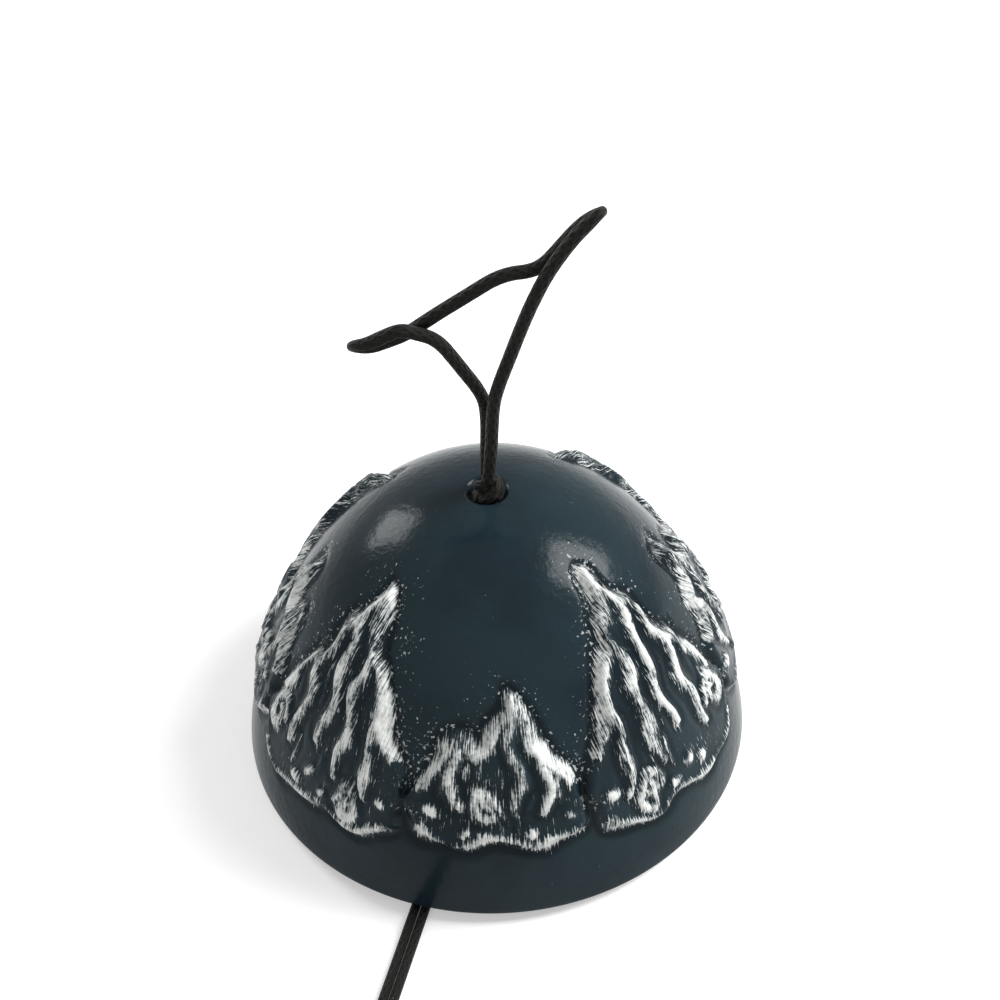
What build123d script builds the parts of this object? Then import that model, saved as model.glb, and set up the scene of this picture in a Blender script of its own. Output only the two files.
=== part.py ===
from build123d import *
import os
from math import asin, atan, cos, degrees, pi, radians, sin, sqrt, tan

# A cast-iron wind bell that stands on a table, leaning on its own cord.
# Millimetres, +Z up, -Y to the viewer, origin on the table under the middle of the lip.

# Bell
lip_radius = 38.0
bell_height = 43.0
lip_wall = 3.0
crown_wall = 3.6
lip_round = 0.7
side_exponent_share = 2.29  # how full the dome is at its sides
crown_exponent_share = 1.32  # how full the dome is at its crown
profile_steps = 10
hole_radius = 2.1

# Band of crags round the wall, a raised skin on it. Each form is one closed outline in shares:
# across its half width, and up from its foot to its top. Ribs run down it, each a line in the
# same shares
relief_height = 0.9  # of a crag above the wall
relief_seat = 0.1  # between a crag and the wall that it lies on
rib_height = 0.55  # of a rib above its crag
rib_width_share = 0.055  # half of a rib's width, of its crag's half width
rib_end_share = 0.35  # of that width, where a rib ends
relief_tilt = 35.0  # degrees above level that the crags face
steep_crag_shares = [
    (-0.97, -0.24),
    (-0.97, 0.12),
    (-0.8, 0.2),
    (-0.62, 0.46),
    (-0.5, 0.43),
    (-0.34, 0.76),
    (-0.22, 0.73),
    (-0.04, 1.0),
    (0.12, 0.9),
    (0.38, 0.6),
    (0.5, 0.62),
    (0.7, 0.3),
    (0.97, 0.14),
    (0.97, -0.2),
    (0.5, -0.36),
    (0.05, -0.28),
    (-0.45, -0.4),
]
twin_crag_shares = [
    (-0.97, -0.22),
    (-0.97, 0.14),
    (-0.82, 0.26),
    (-0.58, 0.62),
    (-0.4, 0.72),
    (-0.18, 0.5),
    (0.04, 0.78),
    (0.2, 1.0),
    (0.38, 0.9),
    (0.5, 0.6),
    (0.66, 0.5),
    (0.84, 0.22),
    (0.97, 0.16),
    (0.97, -0.26),
    (0.5, -0.4),
    (0.0, -0.26),
    (-0.5, -0.38),
]
steep_rib_shares = [
    [(-0.31, 0.64), (-0.4, 0.42), (-0.34, 0.2), (-0.44, -0.04)],
    [(-0.05, 0.84), (-0.1, 0.6), (0.02, 0.36), (-0.06, 0.08)],
    [(0.28, 0.62), (0.2, 0.44), (0.3, 0.24), (0.22, -0.02)],
    [(0.6, 0.32), (0.54, 0.12), (0.63, -0.08)],
]
twin_rib_shares = [
    [(-0.44, 0.56), (-0.51, 0.34), (-0.42, 0.08)],
    [(0.24, 0.82), (0.18, 0.56), (0.3, 0.34), (0.22, 0.04)],
    [(0.54, 0.42), (0.6, 0.22), (0.53, -0.02)],
]
steep_crag = (steep_crag_shares, steep_rib_shares)
twin_crag = (twin_crag_shares, twin_rib_shares)
# Degrees round the bell from the front, half width in degrees, foot and top as shares of the
# way up the wall, form, and 1 or -1 where it is mirrored
crag_places = [
    (-48, 24, 0.36, 0.74, steep_crag, 1),
    (-3, 21, 0.35, 0.58, twin_crag, 1),
    (44, 26, 0.36, 0.76, steep_crag, -1),
    (91, 21, 0.35, 0.64, twin_crag, -1),
    (138, 26, 0.36, 0.77, steep_crag, 1),
    (185, 21, 0.35, 0.6, twin_crag, 1),
    (231, 25, 0.36, 0.76, steep_crag, -1),
    (272, 16, 0.35, 0.62, twin_crag, -1),
]

# Cord and its knots
cord_diameter = 1.4
strand_pitch = 1.5  # between the middles of two strands that lie side by side
crown_knot_radius = 2.6
crown_knot_rise = 0.9  # middle of the knot above the crown
inner_knot_radius = 2.9
clapper_knot_radius = 2.8
strip_knot_radius = 2.0
knot_core_share = 0.8  # core of a knot, of its radius
knot_strand_share = 0.34  # thickness of the strands wound round it, of its radius
knot_turns = (0, 70, 125)  # how the wound strands lean, in degrees
seat_gap = 0.2  # between a knot and what it seats in or on
strand_gap = 0.15  # between the end of a strand and its knot
table_gap = 0.15  # between the lip and the strands under it
arc_share = 0.45  # of the shorter run beside it that a bend takes up

# Clapper
clapper_radius = 16.0
clapper_thickness = 3.6
clapper_edge_round = 1.2
clapper_hub_radius = 5.0
clapper_hub_height = 1.2
clapper_reach = 21.5  # from the middle of the inner knot to the middle of the disc

# Wind strip
strip_width = 40.0
strip_length = 125.0
strip_thickness = 0.4
strip_hole_radius = 2.0
strip_hole_inset = 8.0  # middle of the hole from the strip's end
strip_knot_place = (-25.4, -78.0)
strip_heading = 9.0  # degrees that the strip points left of straight ahead
loop_fold = 3.1  # between the two strands of the loop through the strip

# The way out under the lip, in degrees left of straight ahead
exit_heading = 20.7

# Route of the hanging loop from the top of the crown: up the front strand, out to the
# right fold, back to the left fold and down the rear strand
loop_route = [
    (0.1, -0.95, 3.8),
    (0.4, -0.98, 8.0),
    (0.9, -0.95, 12.8),
    (2.2, -0.9, 17.5),
    (4.4, -0.75, 22.6),
    (6.9, -0.8, 28.3),
    (9.5, -1.05, 34.4),
    (11.5, -1.25, 38.3),
    (13.8, -1.3, 40.7),
    (15.0, 0.0, 40.75),
    (15.0, 1.3, 39.5),
    (12.8, 1.25, 37.2),
    (9.9, 1.0, 33.9),
    (6.2, 0.7, 33.1),
    (2.0, 0.6, 31.9),
    (-2.8, 0.7, 29.2),
    (-7.2, 0.9, 26.7),
    (-10.5, 1.15, 25.0),
    (-13.4, 1.2, 24.5),
    (-14.5, 0.0, 25.4),
    (-13.7, -1.2, 26.5),
    (-10.8, -1.15, 27.0),
    (-8.1, -0.9, 27.1),
    (-5.6, -0.6, 26.1),
    (-3.3, -0.1, 23.5),
    (-1.2, 0.45, 19.2),
    (0.3, 0.85, 14.6),
    (0.5, 0.98, 9.2),
    (0.1, 0.95, 3.8),
]

# Route of the pair of strands on the table: distance along the way out, sideways, and
# height above the table in cord diameters
run_route = [
    (0.0, 0.0, 2.6),
    (0.0, 0.0, 0.95),
    (2.3, 0.05, 0.53),
    (6.2, 0.4, 0.5),
    (12.0, 0.9, 0.5),
    (20.0, 0.9, 0.5),
    (29.0, 0.2, 0.5),
    (38.5, 0.0, 0.5),
    (47.5, -0.5, 0.5),
    (55.5, -0.2, 0.5),
    (63.5, 0.9, 0.5),
    (70.5, 2.3, 0.55),
]

cord_radius = cord_diameter / 2

# The lip is lifted where the strands run under it, so the bell leans the other way
lean_angle = degrees(asin((cord_diameter + table_gap) / (2 * lip_radius - lip_wall)))
foot = Pos(lip_radius * sin(radians(exit_heading)), lip_radius * cos(radians(exit_heading)), 0)
lean = foot * Rot(Z=-exit_heading) * Rot(X=-lean_angle) * Rot(Z=exit_heading) * foot.inverse()


def leaned(height):
    return (lean * Pos(0, 0, height)).position


crown_point = leaned(bell_height)
crown_knot_middle = leaned(bell_height + crown_knot_rise)
inner_knot_middle = leaned(bell_height - crown_wall - seat_gap - inner_knot_radius)
clapper_middle = inner_knot_middle - Vector(0, 0, clapper_reach)
clapper_knot_middle = clapper_middle - Vector(
    0, 0, clapper_thickness / 2 + seat_gap + clapper_knot_radius
)
strip_knot_middle = Vector(*strip_knot_place, strip_knot_radius + seat_gap)


def dome_points(radius, height):
    points = []
    for step in range(profile_steps + 1):
        angle = pi / 2 * step / profile_steps
        across = cos(angle) if step < profile_steps else 0
        points.append(
            (
                radius * across ** (2 / side_exponent_share),
                height * sin(angle) ** (2 / crown_exponent_share),
            )
        )
    return points


def make_dome(radius, height):
    points = dome_points(radius, height)
    with BuildPart() as dome:
        with BuildSketch(Plane.XZ):
            with BuildLine():
                Spline(*points, tangents=[(0, 1), (-1, 0)])
                Line(points[0], (0, 0))
                Line(points[-1], (0, 0))
            make_face()
        revolve(axis=Axis.Z)
    return dome.part


def wall_place(turn, share):
    # A place on the outside of the wall
    angle = pi / 2 * share
    radius = lip_radius * cos(angle) ** (2 / side_exponent_share)
    height = bell_height * sin(angle) ** (2 / crown_exponent_share)
    return Vector(radius * sin(radians(turn)), -radius * cos(radians(turn)), height)


def rib_outline(line):
    left = []
    right = []
    for place, (across, up) in enumerate(line):
        ends = place in (0, len(line) - 1)
        half = rib_width_share * (rib_end_share if ends else 1)
        left.append((across - half, up))
        right.append((across + half, up))
    return left + right[::-1]


def make_relief(layer, shape, turn, half_width, foot_share, top_share, hand):
    # What a closed shape on the wall cuts out of a layer of it
    plane = Plane(Rot(Z=turn) * Rot(X=90 - relief_tilt))
    corners = []
    for across, up in shape:
        place = wall_place(turn + hand * across * half_width, foot_share + up * (top_share - foot_share))
        corner = plane.to_local_coords(place)
        corners.append((corner.X, corner.Y))
    outline = plane * make_face(Polyline(*corners, close=True))
    return layer & extrude(outline, amount=2 * lip_radius)


def make_crags():
    seat = make_dome(lip_radius + relief_seat, bell_height + relief_seat)
    ribbed = relief_height + rib_height
    crag_layer = make_dome(lip_radius + relief_height, bell_height + relief_height) - seat
    rib_layer = make_dome(lip_radius + ribbed, bell_height + ribbed) - seat
    crags = []
    for turn, half_width, foot_share, top_share, form, hand in crag_places:
        where = (turn, half_width, foot_share, top_share, hand)
        crag = make_relief(crag_layer, form[0], *where)
        for line in form[1]:
            crag += make_relief(rib_layer, rib_outline(line), *where)
        crags.append(lean * crag)
    return crags


def make_bell():
    with BuildPart() as bell:
        add(make_dome(lip_radius, bell_height))
        add(make_dome(lip_radius - lip_wall, bell_height - crown_wall), mode=Mode.SUBTRACT)
        lip = bell.edges().filter_by(GeomType.CIRCLE).group_by(Axis.Z)[0]
        fillet(lip, radius=min(lip_round, lip_wall / 3))
        Cylinder(hole_radius, 2 * bell_height, mode=Mode.SUBTRACT)
        with Locations((0, 0, bell_height + crown_knot_rise)):
            Sphere(crown_knot_radius + seat_gap, mode=Mode.SUBTRACT)
    return lean * bell.part


def make_knot(middle, radius):
    strand = knot_strand_share * radius
    knot = Sphere(knot_core_share * radius)
    for turn in knot_turns:
        knot += Rot(Z=turn) * Rot(X=turn) * Torus(radius - strand, strand)
    return Pos(*middle) * knot


def corner_radii(points):
    radii = []
    for before, corner, after in zip(points, points[1:], points[2:]):
        arriving = corner - before
        leaving = after - corner
        half_turn = radians(arriving.get_angle(leaving)) / 2
        radii.append(arc_share * min(arriving.length, leaving.length) / tan(half_turn))
    return radii


def make_cord(name, places):
    points = [Vector(*place) for place in places]
    radii = corner_radii(points)
    path = FilletPolyline(*points, radius=radii)
    start = Plane(origin=path @ 0, z_dir=path % 0)
    tube = sweep(start * Circle(cord_radius), path=path)
    wanted = pi * cord_radius**2 * path.length
    print(name, "length", round(path.length, 1), "volume share", round(tube.volume / wanted, 4))
    print("  least radius in diameters", round(min(radii) / cord_diameter, 2))
    print("  radii", [round(radius, 1) for radius in radii])
    return tube


def make_strand(low, high):
    return Pos(*low) * Cylinder(
        cord_radius, (high - low).length, align=(Align.CENTER, Align.CENTER, Align.MIN)
    )


def make_pair(middle, low, high):
    # Two upright strands side by side, left and right of a middle line
    pair = []
    for side in (-1, 1):
        across = middle.X + side * strand_pitch / 2
        pair.append(make_strand(Vector(across, middle.Y, low), Vector(across, middle.Y, high)))
    return pair


def knot_reach(radius):
    # How far from the middle of a knot a strand beside its axis starts
    return sqrt((radius + strand_gap) ** 2 - (strand_pitch / 2 - cord_radius) ** 2)


def make_clapper():
    with BuildPart() as clapper:
        Cylinder(clapper_radius, clapper_thickness)
        fillet(clapper.edges(), radius=min(clapper_edge_round, clapper_thickness / 3))
        with Locations((0, 0, clapper_thickness / 2)):
            Cone(
                clapper_hub_radius,
                (clapper_hub_radius + hole_radius) / 2,
                clapper_hub_height,
                align=(Align.CENTER, Align.CENTER, Align.MIN),
            )
        Cylinder(hole_radius, 2 * (clapper_thickness + clapper_hub_height), mode=Mode.SUBTRACT)
    return Pos(*clapper_middle) * clapper.part


def run_points(side):
    way_out = Pos(inner_knot_middle.X, inner_knot_middle.Y, 0) * Rot(Z=-exit_heading)
    points = []
    for along, sideways, diameters in run_route:
        across = sideways + side * strand_pitch / 2
        place = way_out * Pos(across, -along, diameters * cord_diameter)
        points.append(tuple(place.position))
    beside = Rot(Z=-exit_heading) * Pos(side * strand_pitch / 2, 0, 0)
    knot_side = strip_knot_middle + beside.position
    arriving = (Vector(points[-1]) - knot_side).normalized()
    return points + [tuple(knot_side + arriving * (strip_knot_radius + strand_gap))]


# The strip lies from its loop, where the cord lifts it, down to the table
strip_lift = cord_diameter + strand_gap + strip_thickness / 2
strip_fall = degrees(atan((strip_lift - strip_thickness / 2) / (strip_length - strip_hole_inset)))
strip_frame = Pos(strip_knot_middle.X, strip_knot_middle.Y, 0) * Rot(Z=-strip_heading)
loop_start = strip_knot_radius + strand_gap
loop_spread = loop_start + 2 * cord_diameter  # where the loop's two strands stand apart
loop_reach = loop_spread + strip_hole_inset


def make_strip_loop():
    low = cord_radius
    high = cord_radius + loop_fold
    sides = [
        (0, -loop_start, strip_knot_middle.Z + cord_radius),
        (0, -loop_spread, high),
        (0, -loop_reach, high - strip_thickness),
        (0, -loop_reach, low),
        (0, -loop_spread, low),
        (0, -loop_start, strip_knot_middle.Z - cord_radius),
    ]
    return make_cord("strip_loop", [tuple((strip_frame * Pos(*side)).position) for side in sides])


def make_strip():
    strip = Pos(0, strip_hole_inset - strip_length / 2, 0) * Box(
        strip_width, strip_length, strip_thickness
    )
    strip -= Cylinder(strip_hole_radius, 2 * strip_thickness)
    return strip_frame * Pos(0, -loop_reach, strip_lift) * Rot(X=strip_fall) * strip


pair_top = clapper_knot_middle.Z - knot_reach(clapper_knot_radius)
pair_bottom = run_route[0][2] * cord_diameter + strand_gap
drops = make_pair(inner_knot_middle, pair_bottom, pair_top)
clapper_strands = make_pair(
    inner_knot_middle,
    clapper_knot_middle.Z + knot_reach(clapper_knot_radius),
    inner_knot_middle.Z - knot_reach(inner_knot_radius),
)
crown_strands = make_pair(
    (crown_knot_middle + inner_knot_middle) / 2,
    inner_knot_middle.Z + knot_reach(inner_knot_radius),
    crown_knot_middle.Z - knot_reach(crown_knot_radius),
)
loop_places = [tuple(crown_point + Vector(*place)) for place in loop_route]

nodes = {
    "bell_shell": make_bell(),
    "bell_relief": Compound(children=make_crags()),
    "crown_knot": make_knot(crown_knot_middle, crown_knot_radius),
    "hanging_loop": make_cord("hanging_loop", loop_places),
    "crown_cord": Compound(children=crown_strands),
    "inner_knot": make_knot(inner_knot_middle, inner_knot_radius),
    "clapper_cord": Compound(children=clapper_strands),
    "clapper": make_clapper(),
    "clapper_knot": make_knot(clapper_knot_middle, clapper_knot_radius),
    "strip_drop_left": drops[0],
    "strip_drop_right": drops[1],
    "strip_cord_left": make_cord("strip_cord_left", run_points(-1)),
    "strip_cord_right": make_cord("strip_cord_right", run_points(1)),
    "strip_knot": make_knot(strip_knot_middle, strip_knot_radius),
    "strip_loop": make_strip_loop(),
    "wind_strip": make_strip(),
}

print("crown knot middle", crown_knot_middle)
print("inner knot middle", inner_knot_middle)
print("strip knot middle", strip_knot_middle)
os.makedirs("parts", exist_ok=True)
for name, solid in nodes.items():
    export_step(solid, os.path.join("parts", name + ".step"))
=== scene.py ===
import math
import random
import bpy
import bmesh
import numpy as np
from mathutils import Matrix, Vector


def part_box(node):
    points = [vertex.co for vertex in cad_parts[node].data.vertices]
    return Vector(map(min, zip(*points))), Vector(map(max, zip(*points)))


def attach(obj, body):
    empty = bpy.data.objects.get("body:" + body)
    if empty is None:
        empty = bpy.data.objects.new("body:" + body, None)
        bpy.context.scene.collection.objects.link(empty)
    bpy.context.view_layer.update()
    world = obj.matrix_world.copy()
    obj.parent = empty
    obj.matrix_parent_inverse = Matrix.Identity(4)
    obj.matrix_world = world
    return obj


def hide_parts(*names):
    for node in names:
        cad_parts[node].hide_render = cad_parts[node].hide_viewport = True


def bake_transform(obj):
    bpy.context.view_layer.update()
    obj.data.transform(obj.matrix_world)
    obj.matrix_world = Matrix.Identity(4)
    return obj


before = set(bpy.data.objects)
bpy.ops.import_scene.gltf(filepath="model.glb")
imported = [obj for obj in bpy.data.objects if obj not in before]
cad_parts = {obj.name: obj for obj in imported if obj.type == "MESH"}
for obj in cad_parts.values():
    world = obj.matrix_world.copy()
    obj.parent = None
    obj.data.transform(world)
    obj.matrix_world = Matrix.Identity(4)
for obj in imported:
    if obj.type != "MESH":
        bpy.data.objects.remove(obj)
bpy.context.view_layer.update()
scene = bpy.context.scene
scene.view_settings.view_transform = "Standard"
mm = 0.001  # every size below is in mm, unless it is a share
print("frame loaded,", len(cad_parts), "nodes")

# camera, at the photograph's angle
view = dict(place=(-2.86, -133.78, 161.73), aim=(2.96, 25.24, 20.0), roll=-2.66, lens=47.64, sensor=36,
            nearest=5)


def addCamera():
    data = bpy.data.cameras.new("photoCamera")
    data.sensor_width = view["sensor"]
    data.lens = view["lens"]
    data.clip_start = view["nearest"] * mm
    camera = bpy.data.objects.new("photoCamera", data)
    place = Vector(view["place"]) * mm
    look = Vector(view["aim"]) * mm - place
    turn = look.to_track_quat("-Z", "Y").to_matrix()
    turn = turn @ Matrix.Rotation(math.radians(view["roll"]), 3, "Z")
    camera.matrix_world = Matrix.Translation(place) @ turn.to_4x4()
    scene.collection.objects.link(camera)
    scene.camera = camera


addCamera()
print("camera set")


class NodeSteps:  # short calls that build the nodes of a material or of the surround
    def __init__(self, owner):
        owner.use_nodes = True
        self.nodes, self.links = owner.node_tree.nodes, owner.node_tree.links

    def add(self, kind, **values):
        node = self.nodes.new("ShaderNode" + kind)
        for name, value in values.items():
            if name in node.inputs:
                node.inputs[name].default_value = value
            else:
                setattr(node, name, value)
        return node

    def join(self, output, socket):
        self.links.new(output, socket)

    def feed(self, socket, value):  # a fixed value is set, anything else is linked
        if isinstance(value, (int, float, tuple)):
            socket.default_value = value
        else:
            self.join(value, socket)

    def calc(self, operation, *values):
        node = self.add("Math", operation=operation)
        for socket, value in zip(node.inputs, values):
            self.feed(socket, value)
        return node.outputs[0]

    def mix(self, share, low, high):
        node = self.add("Mix", data_type="RGBA")
        for place, value in ((0, share), (6, low), (7, high)):
            self.feed(node.inputs[place], value)
        return node.outputs[2]

    def smooth(self, value, low, high, toLow=0.0, toHigh=1.0):
        node = self.add("MapRange", interpolation_type="SMOOTHSTEP")
        self.join(value, node.inputs["Value"])
        for name, limit in (("From Min", low), ("From Max", high), ("To Min", toLow), ("To Max", toHigh)):
            node.inputs[name].default_value = limit
        return node.outputs[0]

    def noise(self, place, scale, detail, roughness, **values):
        node = self.add("TexNoise", Scale=scale, Detail=detail, Roughness=roughness, **values)
        self.join(place, node.inputs["Vector"])
        return node.outputs[0]

    def bump(self, shader, height, strength, depth):
        node = self.add("Bump", Strength=strength, Distance=depth * mm)
        self.join(height, node.inputs["Height"])
        self.join(node.outputs[0], shader.inputs["Normal"])

    def whiteRays(self):  # the rays that see a white background
        paths = self.add("LightPath").outputs
        seen = self.calc("MAXIMUM", paths["Is Camera Ray"], paths["Is Glossy Ray"])
        return self.calc("MAXIMUM", seen, paths["Is Transmission Ray"])

    def fix(self, shader, **values):  # what is the same all over, on the shader's own sockets
        sockets = dict(roughness="Roughness", sheen="Sheen Weight", sheenRoughness="Sheen Roughness",
                       gloss="Specular IOR Level", metallic="Metallic", coat="Coat Weight",
                       coatRoughness="Coat Roughness")
        for name, value in values.items():
            shader.inputs[sockets[name]].default_value = value


def newMaterial(name):
    material = bpy.data.materials.new(name)
    steps = NodeSteps(material)
    return material, steps, steps.nodes["Principled BSDF"]


# black plaited cord, its pattern follows the cord's own map, with painted shade in the plait's grooves;
# noises are scale, detail, roughness
cordLook = dict(dark=(0.0012, 0.0012, 0.001, 1), light=(0.0078, 0.0076, 0.0058, 1),
                pale=(0.13, 0.122, 0.098, 1), twistLength=3.2, yarns=7, fuzz=(900.0, 2.0, 0.6),
                fibre=(3400.0, 3.0, 0.7), loose=3.5, fibreRise=1.6, toneRange=(0.5, 2.0),
                paleFleckFibre=(0.64, 0.74), paleFleckFuzz=(0.45, 0.6), bump=0.6, bumpDepth=0.1)
cordSurface = dict(roughness=0.55, sheen=0.05, sheenRoughness=0.4, gloss=0.13)


def cordMaterial():
    material, steps, shader = newMaterial("blackPlaitedCord")
    parts = steps.add("SeparateXYZ")
    steps.join(steps.add("UVMap").outputs["UV"], parts.inputs[0])
    place = steps.add("TexCoord").outputs["Object"]
    fuzz = steps.noise(place, *cordLook["fuzz"])
    fibre = steps.noise(place, *cordLook["fibre"])
    along = steps.calc("MULTIPLY", parts.outputs[0], 4 * math.pi / cordLook["twistLength"])
    around = steps.calc("MULTIPLY", parts.outputs[1], 2 * math.pi * cordLook["yarns"])
    loose = steps.calc("MULTIPLY", fuzz, cordLook["loose"])
    oneWay = steps.calc("SINE", steps.calc("ADD", steps.calc("ADD", along, around), loose))
    otherWay = steps.calc("SINE", steps.calc("SUBTRACT", steps.calc("SUBTRACT", along, around), loose))
    plait = steps.calc("MAXIMUM", oneWay, otherWay)
    height = steps.calc("MULTIPLY_ADD", fibre, cordLook["fibreRise"], plait)
    # painted shade: the colour goes darker in the plait's grooves and lighter on its raised yarns, following
    # the same height as the bump
    plaitShade = steps.mix(steps.smooth(height, *cordLook["toneRange"]), cordLook["dark"], cordLook["light"])
    # pale flecks scattered along the cord, where two noises both run high
    paleFlecks = steps.calc("MULTIPLY", steps.smooth(fibre, *cordLook["paleFleckFibre"]),
                      steps.smooth(fuzz, *cordLook["paleFleckFuzz"]))
    steps.join(steps.mix(paleFlecks, plaitShade, cordLook["pale"]), shader.inputs["Base Color"])
    steps.bump(shader, height, cordLook["bump"], cordLook["bumpDepth"])
    steps.fix(shader, **cordSurface)
    return material


blackCord = cordMaterial()


# cords: a smooth spline through the route, then a tube along it
def routeCurve(name, points, closed=False, divisions=8, pinch=None):
    curve = bpy.data.curves.new(name, "CURVE")
    curve.dimensions = "3D"
    curve.resolution_u = divisions
    spline = curve.splines.new("NURBS")
    spline.points.add(len(points) - 1)
    for point, place in zip(spline.points, points):
        point.co = (place[0] * mm, place[1] * mm, place[2] * mm, 1)
    for index, share in (pinch or {}).items():  # a sharp fold squeezes the cord
        spline.points[index].radius = share
    spline.use_cyclic_u = closed
    spline.order_u = 3
    spline.use_endpoint_u = not closed
    return curve


def curveMesh(curve):
    holder = bpy.data.objects.new("curveHolder", curve)
    mesh = bpy.data.meshes.new_from_object(holder)
    bpy.data.objects.remove(holder)
    return mesh


def routeLine(curve):
    mesh = curveMesh(curve)
    line = [v.co.copy() for v in mesh.vertices]
    bpy.data.meshes.remove(mesh)
    return line


def lineLength(line):
    return sum((b - a).length for a, b in zip(line, line[1:]))


def tubeMesh(name, curve, thickness, sideSteps=4):
    line = routeLine(curve)
    sides = 2 * (sideSteps + 2)
    curve.bevel_depth = thickness * mm / 2
    curve.bevel_resolution = sideSteps
    curve.use_fill_caps = not curve.splines[0].use_cyclic_u
    mesh = curveMesh(curve)
    mesh.name = name
    reached = [0.0]
    for a, b in zip(line, line[1:]):
        reached.append(reached[-1] + (b - a).length / mm)
    cordMap = mesh.uv_layers[0].data
    for face in mesh.polygons:
        face.use_smooth = True
        spots = [v % sides for v in face.vertices]
        wraps = max(spots) - min(spots) > sides / 2
        for corner in face.loop_indices:
            vertex = mesh.loops[corner].vertex_index
            spot = vertex % sides
            if wraps and spot == 0:
                spot = sides
            cordMap[corner].uv = (reached[min(vertex // sides, len(reached) - 1)], spot / sides)
    return mesh, line


def addPiece(name, mesh, material, body=None, nodes=()):
    piece = bpy.data.objects.new(name, mesh)
    scene.collection.objects.link(piece)
    mesh.materials.clear()
    mesh.materials.append(material)
    if body:
        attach(piece, body)
    if nodes:
        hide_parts(*nodes)
    return piece


# knots, wound from one strand in a tight ball; the ball's form is in shares of its reach
knotForm = dict(points=48, winds=2, waves=3, ring=0.62, swing=0.38, rise=0.74, divisions=3)
knots = dict(
    crownKnot=dict(node="crown_knot", body="crown_knot", middle=(0.65, 0.45, 44.30),
                   radius=2.3, strand=1.4, turn=35),
    innerKnot=dict(node="inner_knot", body="clapper_hanger", middle=(0.275, 0.729, 37.10),
                   radius=2.9, strand=1.5, turn=80),
    clapperKnot=dict(node="clapper_knot", body="clapper", middle=(0.275, 0.729, 10.80),
                     radius=2.8, strand=1.5, turn=10),
    stripKnot=dict(node="strip_knot", body="strip_knot", middle=(-25.4, -78.0, 2.2),
                   radius=2.0, strand=1.2, turn=50),
)


def addKnot(name):
    knot = knots[name]
    x, y, z = knot["middle"]
    reach = knot["radius"] - knot["strand"] / 2
    points = []
    for step in range(knotForm["points"]):
        t = 2 * math.pi * step / knotForm["points"]
        wave = knotForm["waves"] * t
        ring = reach * knotForm["ring"] + reach * knotForm["swing"] * math.cos(wave)
        turned = knotForm["winds"] * t + math.radians(knot["turn"])
        points.append((x + ring * math.cos(turned), y + ring * math.sin(turned),
                       z + reach * knotForm["rise"] * math.sin(wave)))
    curve = routeCurve(name, points, closed=True, divisions=knotForm["divisions"])
    mesh, _ = tubeMesh(name, curve, knot["strand"])
    return addPiece(name, mesh, blackCord, knot["body"], [knot["node"]])


knotPieces = {name: addKnot(name) for name in knots}
print("knots wound")

# the loop that the bell hangs by, with the kinks it was packed with; pinch is thickness at its folds
loopCord = dict(start=(0.326, 0.862, 43.797), diameter=1.75, route=[
    (0.3, -0.85, 2.3), (0.9, -0.98, 8.0), (1.15, -0.96, 12.0), (1.5, -0.95, 15.6), (2.4, -0.92, 18.6),
    (3.6, -0.88, 21.8), (4.9, -0.85, 25.4), (6.1, -0.9, 28.6), (7.5, -0.95, 31.8), (8.7, -0.8, 34.0),
    (10.1, -0.3, 35.8), (11.8, 0.3, 37.7), (13.4, 0.75, 39.1), (14.55, 1.0, 40.05), (15.3, 1.7, 40.2),
    (15.25, 2.6, 39.6), (14.5, 3.1, 38.9), (13.2, 2.9, 38.1), (11.55, 2.3, 36.85), (9.85, 1.7, 35.2),
    (8.3, 1.3, 33.75), (6.6, 1.0, 33.15), (4.3, 0.85, 33.15), (2.2, 0.8, 32.5), (0.1, 0.8, 31.2),
    (-2.3, 0.8, 29.7), (-4.7, 0.85, 28.2), (-7.0, 0.95, 26.6), (-8.9, 1.05, 25.3), (-11.2, 1.15, 24.4),
    (-13.4, 1.2, 23.65), (-15.2, 1.0, 24.0), (-15.7, 0.0, 24.8), (-14.9, -0.9, 25.5), (-13.5, -1.15, 25.75),
    (-11.4, -1.15, 26.75), (-9.3, -1.1, 27.5), (-7.3, -0.95, 26.6), (-5.7, -0.75, 25.8), (-4.4, -0.5, 24.3),
    (-3.15, -0.25, 22.0), (-1.8, 0.1, 19.4), (-0.5, 0.45, 16.9), (0.4, 0.75, 14.4), (0.55, 0.95, 11.3),
    (0.4, 0.98, 8.0), (0.1, 0.85, 2.3)],
    pinch={13: 0.88, 14: 0.74, 15: 0.74, 16: 0.88, 31: 0.88, 32: 0.7, 33: 0.86})


def addHangingLoop():
    points = [tuple(a + b for a, b in zip(loopCord["start"], step)) for step in loopCord["route"]]
    curve = routeCurve("hangingLoop", points, pinch=loopCord["pinch"])
    mesh, line = tubeMesh("hangingLoop", curve, loopCord["diameter"])
    loop = addPiece("hangingLoop", mesh, blackCord, "hanging_loop", ["hanging_loop"])
    print("hanging loop", round(lineLength(line) / mm, 1), "mm")


addHangingLoop()

# the pair of strands from under the bell to the paper strip: along the run, sideways, height
runCord = dict(foot=(0.275, 0.729), heading=20.7, diameter=1.3, pitch=1.36, knotReach=1.9, route=[
    (0, 0, 3.7), (0, 0, 1.33), (2.3, 0.05, 0.72), (6.2, 0.4, 0.66), (12.0, 0.9, 0.66), (20.0, 0.9, 0.66),
    (29.0, 0.4, 0.66), (38.5, 0.6, 0.66), (47.5, 0.9, 0.66), (55.5, 1.1, 0.66), (63.5, 1.6, 0.66),
    (70.5, 2.4, 0.72)])
runTurn = Matrix.Rotation(math.radians(-runCord["heading"]), 3, "Z")


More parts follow.
